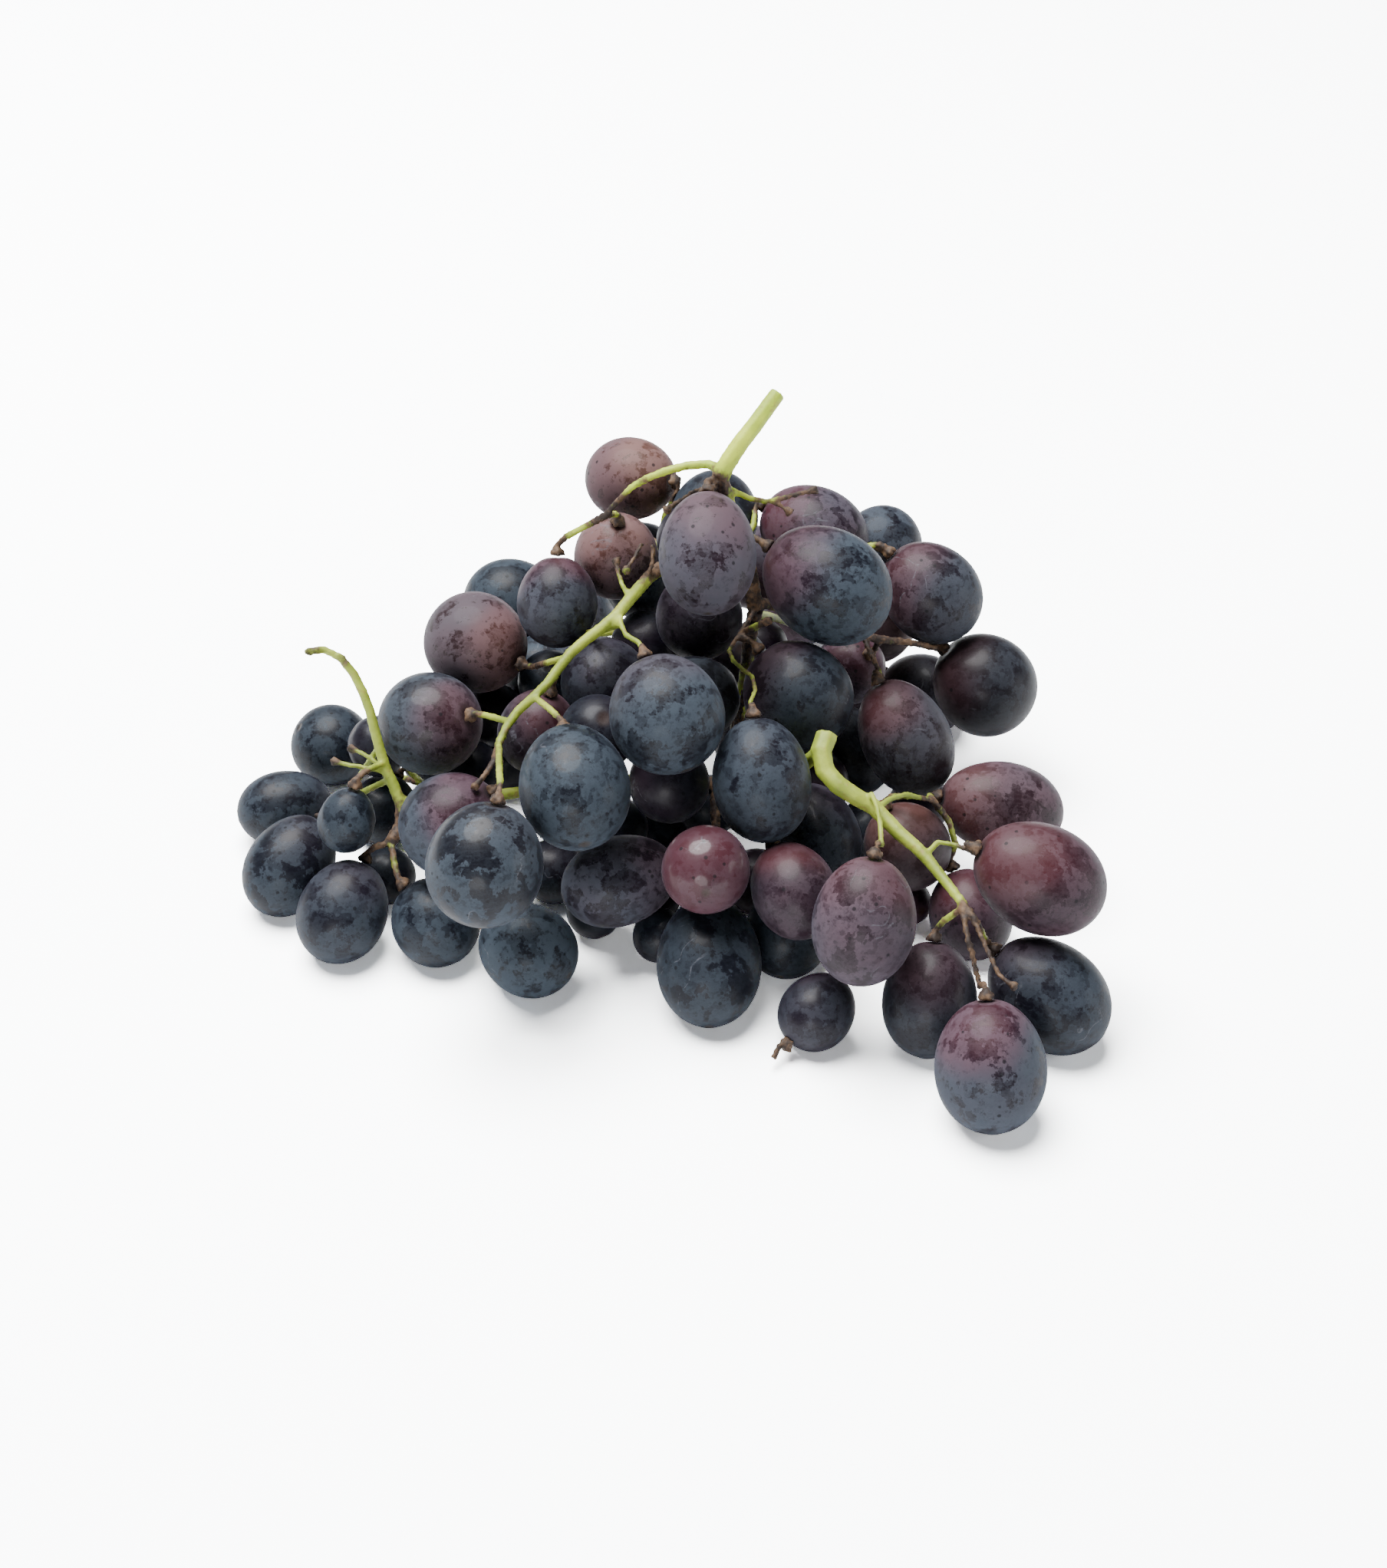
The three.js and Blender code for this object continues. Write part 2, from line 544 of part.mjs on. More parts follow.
const bunch = new THREE.Group();
bunch.add(namedMesh(stem, "stem", greenWood));
bunch.add(namedMesh(fallenStalk, "fallen_stalk", greenWood));
for (const grape of grapes) {
  const whole = grapeSolid(grape, 0);
  const body = grape.resting ? whole.subtract(table) : whole;
  bunch.add(namedMesh(body, grape.name, grape.red ? redSkin : darkSkin));
}

// The origin is under the middle of the bunch's box.
const box = new THREE.Box3().setFromObject(bunch);
const middle = box.getCenter(new THREE.Vector3());
bunch.position.set(-middle.x, -middle.y, 0);

export default bunch;
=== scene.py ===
"""The looks of a bunch of dark table grapes on a pale table: waxy skins with their bloom, and a green stem.

Every grape is worked out again as a smooth skin from the solid that stands for it, more are tucked into the
gaps between them, and the stem is the solid stem with its corners grown round. Metres, +Z up.
"""

import math

import bpy
import numpy as np
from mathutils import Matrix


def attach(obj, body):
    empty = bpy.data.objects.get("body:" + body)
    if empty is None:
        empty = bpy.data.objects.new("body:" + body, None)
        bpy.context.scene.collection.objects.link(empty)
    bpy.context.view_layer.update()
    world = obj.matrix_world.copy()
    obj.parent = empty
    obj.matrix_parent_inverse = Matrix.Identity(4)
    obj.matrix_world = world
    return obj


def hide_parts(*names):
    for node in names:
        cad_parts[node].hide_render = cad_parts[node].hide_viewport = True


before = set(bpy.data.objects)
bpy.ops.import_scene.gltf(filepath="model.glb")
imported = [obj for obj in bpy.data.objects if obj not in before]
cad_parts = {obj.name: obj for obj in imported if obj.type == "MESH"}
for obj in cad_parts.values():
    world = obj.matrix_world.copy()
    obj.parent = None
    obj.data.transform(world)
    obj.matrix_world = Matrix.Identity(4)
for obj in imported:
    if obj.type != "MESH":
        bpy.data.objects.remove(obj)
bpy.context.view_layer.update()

MM = 0.001

# How the photograph looks at the bunch: its size in pixels, the point in its middle, the distance, the
# downward slope, and the focal length in pixels.
PHOTO_WIDTH, PHOTO_HEIGHT = 1808, 2044
PHOTO_AIM = np.array([8.57, -12.44, 30.0]) * MM
PHOTO_DISTANCE = 640 * MM
PHOTO_SLOPE = math.radians(38)
PHOTO_FOCAL_PIXELS = 3700

TOWARDS = np.array([0, math.cos(PHOTO_SLOPE), -math.sin(PHOTO_SLOPE)])
RIGHTWARDS = np.array([1.0, 0, 0])
UPWARDS = np.array([0, math.sin(PHOTO_SLOPE), math.cos(PHOTO_SLOPE)])
EYE = PHOTO_AIM - TOWARDS * PHOTO_DISTANCE


def point_seen(across, down, height):
    """The point at a height in millimetres on the line of sight through a pixel of the photograph."""
    line = (
        TOWARDS
        + RIGHTWARDS * (across - PHOTO_WIDTH / 2) / PHOTO_FOCAL_PIXELS
        + UPWARDS * (PHOTO_HEIGHT / 2 - down) / PHOTO_FOCAL_PIXELS
    )
    return EYE + line * (height * MM - EYE[2]) / line[2]


# Meshes


def mesh_object(name, points, faces, fields=None):
    """A smooth mesh with its place in its points, and a number for each point under each field's name."""
    mesh = bpy.data.meshes.new(name)
    mesh.from_pydata(points.tolist(), [], faces)
    mesh.polygons.foreach_set("use_smooth", np.ones(len(mesh.polygons), bool))
    for field, values in (fields or {}).items():
        layer = mesh.attributes.new(field, "FLOAT", "POINT")
        layer.data.foreach_set("value", np.asarray(values, np.float32))
    mesh.update()
    piece = bpy.data.objects.new(name, mesh)
    bpy.context.scene.collection.objects.link(piece)
    return piece


def corners(node):
    """The points of a solid node, each once."""
    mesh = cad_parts[node].data
    flat = np.zeros(len(mesh.vertices) * 3, np.float32)
    mesh.vertices.foreach_get("co", flat)
    return np.unique(np.round(flat.reshape(-1, 3).astype(float), 7), axis=0)


def smooth_step(low, high, value):
    """0 below low, 1 above high, and an S curve between."""
    share = np.clip((value - low) / (high - low), 0, 1)
    return share * share * (3 - 2 * share)


def bell(distance, reach):
    """1 at no distance, and less further off, as a bell curve: exp(-(distance / reach) ** 2)."""
    return np.exp(-((distance / reach) ** 2))


ODD_DIRECTION = [0.31, 0.17, 0.93]


def square_axes(axis):
    """Two directions square to an axis and to each other."""
    side = np.cross(axis, ODD_DIRECTION)
    side /= np.linalg.norm(side)
    return side, np.cross(axis, side)


# Grapes

# The shape of every grape, as shares of its half width and half length.
STALK_END_TAPER = 0.05
DIMPLE_SHARE = 0.05
# A point nearer the middle than this share of the way to the skin counts as being this far out.
NEAR_MIDDLE = 0.05


class Grape:
    """An egg round: its middle, the direction of its stalk end, half its width and half its length.

    A resting grape is flat where it lies on the table. An inner one, which no solid stands for, brings its
    own redness.
    """

    def __init__(self, name, middle, axis, half, half_long, resting=False, inner_red=None):
        self.name = name
        self.middle = middle
        self.axis = axis
        self.half = half
        self.half_long = half_long
        self.resting = resting
        self.inner_red = inner_red

    def skin_gap(self, point):
        """About how far a point is outside the skin."""
        offset = point - self.middle
        along = offset @ self.axis
        across = np.sqrt(max(offset @ offset - along * along, 0))
        share = np.hypot(across / self.half, along / self.half_long)
        return np.linalg.norm(offset) * (1 - 1 / max(share, NEAR_MIDDLE))

    def stalk_seat(self):
        """The point in the dimple where the stalk ends."""
        return self.middle + self.axis * self.half_long * (1 - DIMPLE_SHARE)


# Heights in millimetres: a grape with a corner below the first rests, and its flat is below the second.
RESTING_BELOW, FLAT_BELOW = 0.01, 0.05
# The fit of an egg round to corners in millimetres: its first half width and half length, its rounds, the
# misfit at which a corner counts for half, the step its slopes are taken over, what keeps it steady, and the
# share of the corners, those that fit best, by which it is judged.
FIRST_SIZES = [10.5, 12.0]
FIT_ROUNDS = 14
HALF_TRUSTED = 0.02
SLOPE_STEP = 1e-4
STEADYING = 1e-7
JUDGING_SHARE = 0.9


def misfit(values, points):
    """How far each point is from an egg round's skin, as a share of its size.

    At each height, from -1 to 1, the skin is a circle of radius half * (1 - taper * height) times a round's.
    """
    middle, lean, half, half_long = values[:3], values[3:6], values[6], values[7]
    axis = lean / np.linalg.norm(lean)
    offset = points - middle
    height = offset @ axis / half_long
    across = np.linalg.norm(offset - np.outer(offset @ axis, axis), axis=1)
    return np.hypot(across / (half * (1 - STALK_END_TAPER * height)), height) - 1


def fitted_grape(node):
    """The egg round whose skin the solid's corners lie on, by least squares from each end of three axes."""
    points = corners(node) / MM
    resting = points[:, 2].min() < RESTING_BELOW
    used = points[points[:, 2] > FLAT_BELOW]
    middle = used.mean(axis=0)
    ways = np.linalg.eigh(np.cov((used - middle).T))[1]
    starts = [ways[:, k] * sign for k in range(3) for sign in (1, -1)]
    best = None
    for start in starts:
        values = np.concatenate([middle, start, FIRST_SIZES])
        for _ in range(FIT_ROUNDS):
            error = misfit(values, used)
            weight = 1 / (1 + (error / HALF_TRUSTED) ** 2)
            steps = np.eye(8) * SLOPE_STEP
            slopes = np.stack([(misfit(values + step, used) - error) / SLOPE_STEP for step in steps], axis=1)
            left = slopes.T @ (slopes * weight[:, None]) + np.eye(8) * STEADYING
            values = values - np.linalg.solve(left, slopes.T @ (error * weight))
            values[3:6] /= np.linalg.norm(values[3:6])
        judging = int(len(used) * JUDGING_SHARE)
        score = np.sort(np.abs(misfit(values, used)))[:judging].sum()
        if best is None or score < best[0]:
            best = (score, values)
    values = best[1]
    return Grape(node, values[:3] * MM, values[3:6], abs(values[6]) * MM, abs(values[7]) * MM, resting)


# The ends of a skin, with reaches as angles from the end: the dimple, a little shallower than the solid's,
# the raised scar at the blossom end, and the sunken ring round the scar. Heights in metres.
DIMPLE_FILL, DIMPLE_REACH = 0.95, 0.2
SCAR_HEIGHT, SCAR_REACH = 0.22 * MM, 0.07
RING_DEPTH, RING_PLACE, RING_REACH = 0.1 * MM, 0.13, 0.05
# How far the slow waves and the wrinkles of a shrivelled skin move it, as shares of the radius.
WAVE_SHARE = 0.005
WRINKLE_SHARE = 0.03


def skin_grid(grape, around, rings, chance, wrinkle):
    """The skin on a grid of angle round the axis by angle from the blossom end to the stalk end.

    Radius: half * cos(up) * (1 - taper * sin(up)), height: half_long * sin(up). The stalk end sinks by a
    bell-shaped dimple, the blossom end has a small scar, and three slow waves, sin(order * turn), keep the
    skin from being perfect. A shrivelled skin sinks by the size of one more wave, which twists from end to
    end.
    """
    up = np.linspace(-np.pi / 2, np.pi / 2, rings + 1)[1:-1]
    turn = np.linspace(0, 2 * np.pi, around, endpoint=False)
    up, turn = (grid.ravel() for grid in np.meshgrid(up, turn, indexing="ij"))
    up = np.concatenate([up, [-np.pi / 2, np.pi / 2]])
    turn = np.concatenate([turn, [0, 0]])
    radius = grape.half * np.cos(up) * (1 - STALK_END_TAPER * np.sin(up))
    height = grape.half_long * np.sin(up)
    from_stalk = np.pi / 2 - up
    from_blossom = np.pi / 2 + up
    height -= grape.half_long * DIMPLE_SHARE * DIMPLE_FILL * bell(from_stalk, DIMPLE_REACH)
    height += SCAR_HEIGHT * bell(from_blossom, SCAR_REACH)
    height -= RING_DEPTH * bell(from_blossom - RING_PLACE, RING_REACH)
    wave = np.zeros_like(up)
    for order in range(2, 5):
        phase, lean, size = chance.uniform(0, 2 * np.pi), chance.uniform(0, 3), chance.uniform(0.3, 1)
        wave += size * np.sin(order * turn + phase + lean * np.sin(up)) * np.cos(up) ** 2 / order
    twist = np.sin(3.5 * turn + 2 * np.sin(2.3 * up))
    swell = 1 + WAVE_SHARE * wave - wrinkle * np.abs(twist) * np.cos(up)
    side, other = square_axes(grape.axis)
    points = (
        grape.middle
        + np.outer(radius * swell * np.cos(turn), side)
        + np.outer(radius * swell * np.sin(turn), other)
        + np.outer(height, grape.axis)
    )
    if grape.resting:
        points[:, 2] = np.maximum(points[:, 2], 0)
    return points, up, turn


def grid_faces(around, rings):
    """Quads between neighbouring rings, and a fan at each end, all facing out."""
    step = np.arange(around)
    following = (step + 1) % around
    start = np.arange(rings - 2)[:, None] * around
    here, there = (start + step).ravel(), (start + following).ravel()
    quads = np.stack([here, there, there + around, here + around], axis=1)
    last = (rings - 2) * around
    blossom, stalk = np.full(around, last + around), np.full(around, last + around + 1)
    blossom_fan = np.stack([blossom, following, step], axis=1)
    stalk_fan = np.stack([stalk, last + step, last + following], axis=1)
    return quads.tolist() + blossom_fan.tolist() + stalk_fan.tolist()


AROUND, RINGS = 72, 46
FACES = grid_faces(AROUND, RINGS)

# The looks of each grape that the photograph shows: how red it is all over, how much redder at the stalk end,
# how brown, and how thick its bloom is. The bloom of grape_left_08 and grape_middle_09, in the shade of the
# grapes above them, is partly their own and partly made thicker to lighten them: painted light.
LOOKS = {
    "left": [
        (0.02, 0.00, 0.00, 0.50), (0.10, 0.10, 0.00, 0.50), (0.02, 0.00, 0.00, 0.60),
        (0.05, 0.00, 0.00, 0.35), (0.08, 0.10, 0.00, 0.65), (0.12, 0.10, 0.00, 0.60),
        # grape_left_08, the second here, has its bloom made thicker to lighten it in shade: partly its own
        # bloom, partly painted light.
        (0.05, 0.00, 0.00, 0.55), (0.03, 0.00, 0.00, 1.30), (0.15, 0.45, 0.00, 0.80),
        (0.03, 0.05, 0.05, 0.68), (0.05, 0.50, 0.12, 0.95), (0.30, 0.45, 0.60, 1.80),
        (0.35, 0.40, 0.10, 0.50),
    ],
    "crown": [
        (0.55, 0.30, 1.20, 1.50), (0.45, 0.40, 0.75, 1.40), (0.20, 0.60, 0.05, 0.70),
        (0.03, 0.00, 0.00, 0.65), (0.18, 0.10, 0.00, 0.50), (0.05, 0.00, 0.00, 0.40),
        (0.28, 0.15, 0.15, 1.50), (0.05, 0.10, 0.00, 0.60), (0.30, 0.15, 0.00, 0.45),
        (0.08, 0.60, 0.00, 0.90), (0.35, 0.55, 0.00, 0.85), (0.18, 0.25, 0.00, 0.85),
    ],
    "middle": [
        (0.03, 0.20, 0.05, 0.80), (0.02, 0.05, 0.00, 0.70), (0.02, 0.00, 0.10, 0.50),
        (0.25, 0.20, 0.00, 0.25), (0.03, 0.40, 0.05, 0.55), (0.12, 0.00, 0.00, 0.75),
        # grape_middle_09, the third here, has its bloom made thicker to lighten it in shade: partly its own
        # bloom, partly painted light.
        (0.90, 0.30, 0.10, 0.35), (0.08, 0.00, 0.00, 0.60), (0.22, 0.20, 0.00, 1.00),
    ],
    "right": [
        (0.15, 0.50, 0.10, 0.62), (0.40, 0.30, 1.00, 0.50), (0.03, 0.50, 0.20, 0.30),
        (0.20, 0.25, 0.20, 0.30), (0.18, 0.60, 0.25, 0.60), (0.02, 0.00, 0.15, 0.45),
        (0.10, 0.20, 0.00, 0.50), (0.40, 0.50, 0.15, 0.45), (0.06, 0.00, 0.00, 0.40),
        (0.38, 0.45, 0.15, 0.85), (0.35, 0.40, 0.65, 0.45), (0.40, 0.40, 0.10, 0.40),
        (0.50, 0.45, 0.35, 0.95), (0.50, 0.50, 0.20, 0.62), (0.10, 0.35, 0.10, 0.48),
        (0.12, 0.20, 0.00, 0.48), (0.17, 0.60, 0.00, 1.35),
    ],
    "fallen": [(0.22, 0.20, 0.00, 0.45)],
}
# How glossy a few grapes are, where the bloom is rubbed off, and which ones have the most specks.
GLOSS = {"grape_middle_07": 0.4, "grape_left_10": 0.2, "grape_middle_02": 0.12, "grape_left_11": 0.15}
SPECKLED = {"grape_middle_07", "grape_left_10", "grape_middle_08", "grape_middle_05", "grape_left_05"}
SHRIVELLED = "grape_left_03"
USUAL_GLOSS = 0.06


def looks_of(grape, chance):
    """A grape's row of looks, or looks drawn at random for an inner grape or one at the back. An inner grape
    has a thin bloom, so that it shows dark: painted shade between the grapes.
    """
    if grape.inner_red is not None:
        # A thin bloom, from 0.1 to 0.35, makes the inner grapes dark: painted shade between the grapes.
        return grape.inner_red, 0.1, 0.0, chance.uniform(0.1, 0.35)
    group, number = grape.name.split("_")[1:]
    if group == "back":
        return chance.choice([0.05, 0.15, 0.4]), chance.uniform(0, 0.6), 0.0, chance.uniform(0.45, 0.9)
    return LOOKS[group][int(number) - 1]


SKIN_SEED, INNER_SEED = 500, 900


def dress_grape(grape, number):
    """One smooth skin with the numbers that colour it at each point.

    Red and brown grow towards the stalk end, past an edge that drifts up and down as two waves round the
    grape. Bloom is thinner where the stalk end is red, and gloss lies on the upper side alone.
    """
    chance = np.random.default_rng(SKIN_SEED + number)
    wrinkle = WRINKLE_SHARE if grape.name == SHRIVELLED else 0
    points, up, turn = skin_grid(grape, AROUND, RINGS, chance, wrinkle)
    red, stalk_red, brown, wax = looks_of(grape, chance)
    phase = chance.uniform(0, 2 * np.pi, 3)
    drift = 0.25 * np.sin(turn + phase[0]) * np.cos(up) + 0.15 * np.sin(2 * turn + phase[1] + 2 * up)
    near_stalk = smooth_step(0.0, 0.9, np.sin(up) + drift)
    upper_side = smooth_step(-0.1, 0.5, (points - grape.middle)[:, 2] / grape.half)
    fields = {
        "red": np.clip(red + stalk_red * near_stalk + 0.4 * red * drift, 0, 1),
        "brown": np.clip(brown * (0.35 + 0.65 * near_stalk), 0, 1),
        "wax": wax * (1 - 0.5 * near_stalk * stalk_red) + 0.12 * np.sin(turn + phase[2]) * np.cos(up),
        "stalk_end": smooth_step(0.3, 0.1, np.pi / 2 - up),
        "blossom_end": smooth_step(0.1, 0.05, np.pi / 2 + up),
        "gloss": GLOSS.get(grape.name, USUAL_GLOSS) * upper_side,
        "specks": np.full_like(up, 1.0 if grape.name in SPECKLED else chance.uniform(0.1, 0.6)),
    }
    skin = mesh_object(grape.name + "_skin", points, FACES, fields)
    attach(skin, "root")
    return skin


# Grapes that the photograph shows only as slivers between the others, and, last, two dark grapes that stand
# for
# the shade under the bunch: painted shade. Each row holds pixel across, pixel down, height and half width in
# millimetres, and how red each is. One of these places has no room for a grape.
SLIVERS = [
    (660, 985, 24, 8.6, 0.10), (548, 1000, 22, 8.4, 0.10), (712, 885, 35, 8.4, 0.10),
    (903, 712, 54, 8.4, 0.20), (892, 812, 48, 8.0, 0.50), (870, 1075, 26, 8.4, 0.10),
    (848, 1172, 12, 8.0, 0.20), (722, 1135, 22, 7.8, 0.10), (985, 1150, 22, 7.6, 0.40),
    (1112, 872, 30, 8.3, 0.30), (1185, 1175, 11, 7.8, 0.50), (985, 960, 34, 8.4, 0.30),
    (1060, 1010, 30, 8.4, 0.50), (780, 960, 40, 8.6, 0.10), (837, 831, 46, 8.0, 0.20),
    (505, 1142, 14, 7.8, 0.05), (642, 922, 36, 7.6, 0.20), (952, 862, 42, 7.8, 0.20),
    (1122, 1066, 26, 7.6, 0.10), (920, 1046, 34, 7.2, 0.10), (610, 998, 28, 7.2, 0.10),
    (815, 1077, 26, 7.2, 0.10), (500, 982, 22, 7.2, 0.10), (994, 831, 44, 7.2, 0.30),
    # (775, 1188) and (855, 1205) are dark grapes put where there is only shade under the bunch: painted shade.
    (710, 918, 32, 7.2, 0.10), (1198, 1046, 16, 7.2, 0.30), (775, 1188, 10, 8.0, 0.10),
    (855, 1205, 10, 7.6, 0.10),
]
SKIN_GAP = 0.35 * MM
SMALLEST_HALF = 5 * MM
# The heights in millimetres that are tried on a line of sight, from the one given, and how an inner grape
# then moves: how often, how far in millimetres, and the share of its way home that it is drawn back each time.
HEIGHTS_TRIED = np.arange(-16, 7, 1.0)
MOVES, MOVE_LENGTH, HOMING = 120, 0.2, 0.05
# The points that stand for a skin while room is looked for: their number, and how near the ends they come.
CLOUD_COUNT, CLOUD_END = 260, 0.995
GOLDEN_TURN = math.pi * (3 - math.sqrt(5))


def surface_points(grape):
    """Points spread evenly over the skin: even steps of height, with a golden turn from each to the next."""
    up = np.arcsin(np.linspace(-CLOUD_END, CLOUD_END, CLOUD_COUNT))
    turn = np.arange(CLOUD_COUNT) * GOLDEN_TURN
    side, other = square_axes(grape.axis)
    radius = grape.half * np.cos(up) * (1 - STALK_END_TAPER * np.sin(up))
    return (
        grape.middle
        + np.outer(radius * np.cos(turn), side)
        + np.outer(radius * np.sin(turn), other)
        + np.outer(grape.half_long * np.sin(up), grape.axis)
    )


def room_at(middle, grapes, clouds):
    """How far the nearest point of the clouds or the table is from a middle, or nothing inside a grape."""
    if any(grape.skin_gap(middle) < 0 for grape in grapes):
        return 0
    return min(np.linalg.norm(clouds - middle, axis=1).min(), middle[2])


def tucked_grapes(grapes, stem_points):
    """Round grapes let into the gaps, each at the roomiest height on the line of sight through its pixel.

    From there it moves away from whatever is nearest, step by step, and keeps the roomiest place on the way.
    """
    clouds = np.concatenate([surface_points(grape) for grape in grapes] + [stem_points])
    tucked = []
    for number, (across, down, height, half, red) in enumerate(SLIVERS, 1):
        places = [point_seen(across, down, height + rise) for rise in HEIGHTS_TRIED]
        rooms = [min(room_at(place, grapes, clouds), half * MM) for place in places]
        home = places[int(np.argmax(rooms))]
        best, widest = home, max(rooms)
        middle = home.copy()
        for _ in range(MOVES):
            gaps = np.linalg.norm(clouds - middle, axis=1)
            away = (middle - clouds[gaps.argmin()]) / gaps.min()
            middle = middle + away * MOVE_LENGTH * MM - (middle - home) * HOMING
            room = room_at(middle, grapes, clouds)
            if room > widest:
                best, widest = middle.copy(), room
        fits = min(half * MM, widest - SKIN_GAP)
        if fits < SMALLEST_HALF:
            continue
        axis = np.random.default_rng(INNER_SEED + number).normal(size=3)
        axis /= np.linalg.norm(axis)
        grape = Grape(f"inner_grape_{number:02d}", best, axis, fits, fits, inner_red=red)
        tucked.append(grape)
        clouds = np.concatenate([clouds, surface_points(grape)])
    return tucked


# Stem

# The three waves whose product is the warts, in radians a metre along each axis, and the height of the warts
# in millimetres, on green stem and how much more where it is browned, by drying or as painted shade.
WART_WAVES = np.array([[2900, 700, 300], [-500, 2600, 900], [400, -800, 2400]])
GREEN_WARTS, BROWNED_WARTS = 0.05, 0.22
TABLE_GAP = 0.02 * MM
# The voxels and passes of the rounding, and the reach and strength of the dryness at a grape's knob and on
# the loose stalk.
STEM_VOXEL, STALK_VOXEL = 0.45 * MM, 0.2 * MM
ROUNDING_PASSES = 2
KNOB_REACH, KNOB_DRYNESS = 7 * MM, 0.95
LOOSE_STALK_REACH, LOOSE_STALK_DRYNESS = 8 * MM, 1.0


def rounded_stem(node, voxel, spots):
    """The solid stem with its corners grown round, roughened a little, and brown where it has dried, and where
    it lies among the grapes as painted shade.

    Browning at a point is the largest of strength * exp(-(distance / reach) ** 2) over the brown spots. Warts
    are the product of three waves that cross each other, tallest where it is brown.
    """
    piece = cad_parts[node].copy()
    piece.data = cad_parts[node].data.copy()
    piece.name = node + "_bark"
    piece.data.name = node + "_bark"
    bpy.context.scene.collection.objects.link(piece)
    piece.data.materials.clear()
    weld = piece.modifiers.new("weld", "WELD")
    weld.merge_threshold = 1e-6
    remesh = piece.modifiers.new("remesh", "REMESH")
    remesh.mode = "VOXEL"
    remesh.voxel_size = voxel
    smooth = piece.modifiers.new("smooth", "SMOOTH")
    smooth.factor = 0.5
    smooth.iterations = ROUNDING_PASSES
    shaped = bpy.data.meshes.new_from_object(piece.evaluated_get(bpy.context.evaluated_depsgraph_get()))
    piece.modifiers.clear()
    piece.data = shaped
    shaped.name = node + "_bark"
    points = np.zeros(len(shaped.vertices) * 3, np.float32)
    shaped.vertices.foreach_get("co", points)
    points = points.reshape(-1, 3).astype(float)
    outward = np.zeros(len(shaped.vertices) * 3, np.float32)
    shaped.vertex_normals.foreach_get("vector", outward)
    dry = np.zeros(len(points))
    # Brown from drying, and among the grapes painted shade, spreads round each spot.
    for middle, reach, strength in spots:
        dry = np.maximum(dry, strength * bell(np.linalg.norm(points - middle, axis=1), reach))
    warts = np.sin(points @ WART_WAVES.T + [0, 1, 2]).prod(axis=1)
    heights = warts * (GREEN_WARTS + BROWNED_WARTS * np.clip(dry, 0, 1)) * MM
    points += outward.reshape(-1, 3) * heights[:, None]
    points[:, 2] = np.maximum(points[:, 2], TABLE_GAP)
    shaped.vertices.foreach_set("co", points.astype(np.float32).ravel())
    layer = shaped.attributes.new("dry", "FLOAT", "POINT")
    layer.data.foreach_set("value", np.clip(dry, 0, 1).astype(np.float32))
    shaped.polygons.foreach_set("use_smooth", np.ones(len(shaped.polygons), bool))
    shaped.update()
    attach(piece, "root")
    return piece


# Brown parts of the stem: dry parts that the photograph shows, and, in the middle among the grapes, painted
# shade where the stem shows dark in the gaps. Pixel across, pixel down, height and reach in millimetres, and
# strength.
DRY_AND_SHADE_SPOTS = [
    # The crown: the left twig's tip, the right one, the little left one, the hook and the curl.
    (804, 655, 82, 5, 0.8), (789, 672, 79, 6, 1.0),
    (1000, 654, 83, 6, 0.5), (1035, 645, 83, 8, 0.7), (1065, 638, 83, 6, 1.0), (1032, 669, 81, 6, 1.0),
    (938, 618, 92, 2.5, 0.6), (890, 650, 84, 7, 0.9), (866, 667, 82, 8, 1.0),
    (803, 728, 70, 5, 0.9), (850, 720, 72, 8, 1.0), (826, 728, 73, 6, 1.0),
    # The middle, among the grapes: partly dry stem, and partly painted shade where the stem shows in the gaps.
    (975, 760, 60, 12, 0.9), (990, 800, 55, 10, 0.9), (1006, 808, 60, 6, 0.9), (962, 835, 54, 8, 0.8),
    (983, 885, 55, 9, 0.5), (980, 930, 54, 4, 0.8), (970, 885, 42, 9, 0.9), (970, 885, 30, 9, 0.9),
    (972, 850, 44, 9, 0.9),
    (931, 1040, 40, 9, 1.0), (931, 1040, 28, 9, 1.0), (931, 1000, 34, 9, 1.0), (931, 1040, 16, 9, 1.0),
    (958, 942, 46, 8, 0.9), (958, 942, 34, 10, 0.9), (958, 942, 22, 10, 0.9), (936, 1072, 26, 9, 1.0),
    (936, 1072, 14, 9, 1.0),
    # The twig to the right of the crown.
    (1070, 806, 47, 10, 0.8), (1125, 830, 45, 14, 0.85), (1190, 838, 41, 12, 0.85), (1140, 862, 44, 8, 0.7),
    # The left twigs.
    (640, 1000, 43, 9, 0.7), (617, 1028, 41, 8, 0.9),
    (398, 850, 57, 5, 0.7), (447, 860, 54, 2.5, 0.6), (523, 1085, 21, 9, 0.9), (455, 975, 33, 3, 0.8),
    (432, 992, 33, 3, 0.8),
    # The right twig's forks.
    (1268, 1195, 31, 6, 0.8), (1290, 1240, 28, 8, 1.0), (1325, 1288, 25, 8, 1.0), (1262, 1225, 29, 8, 1.0),
    (1283, 1265, 26, 7, 0.9), (1190, 1036, 33, 7, 0.9), (1225, 1062, 32, 8, 0.9), (1242, 1096, 33, 6, 0.6),
    (1150, 1075, 30, 5, 0.6),
    # The stalks of the grapes at the left.
    (693, 868, 47, 8, 0.8), (632, 928, 41, 8, 0.8), (830, 838, 57, 7, 0.8), (655, 985, 43, 7, 0.7),
]


# Materials


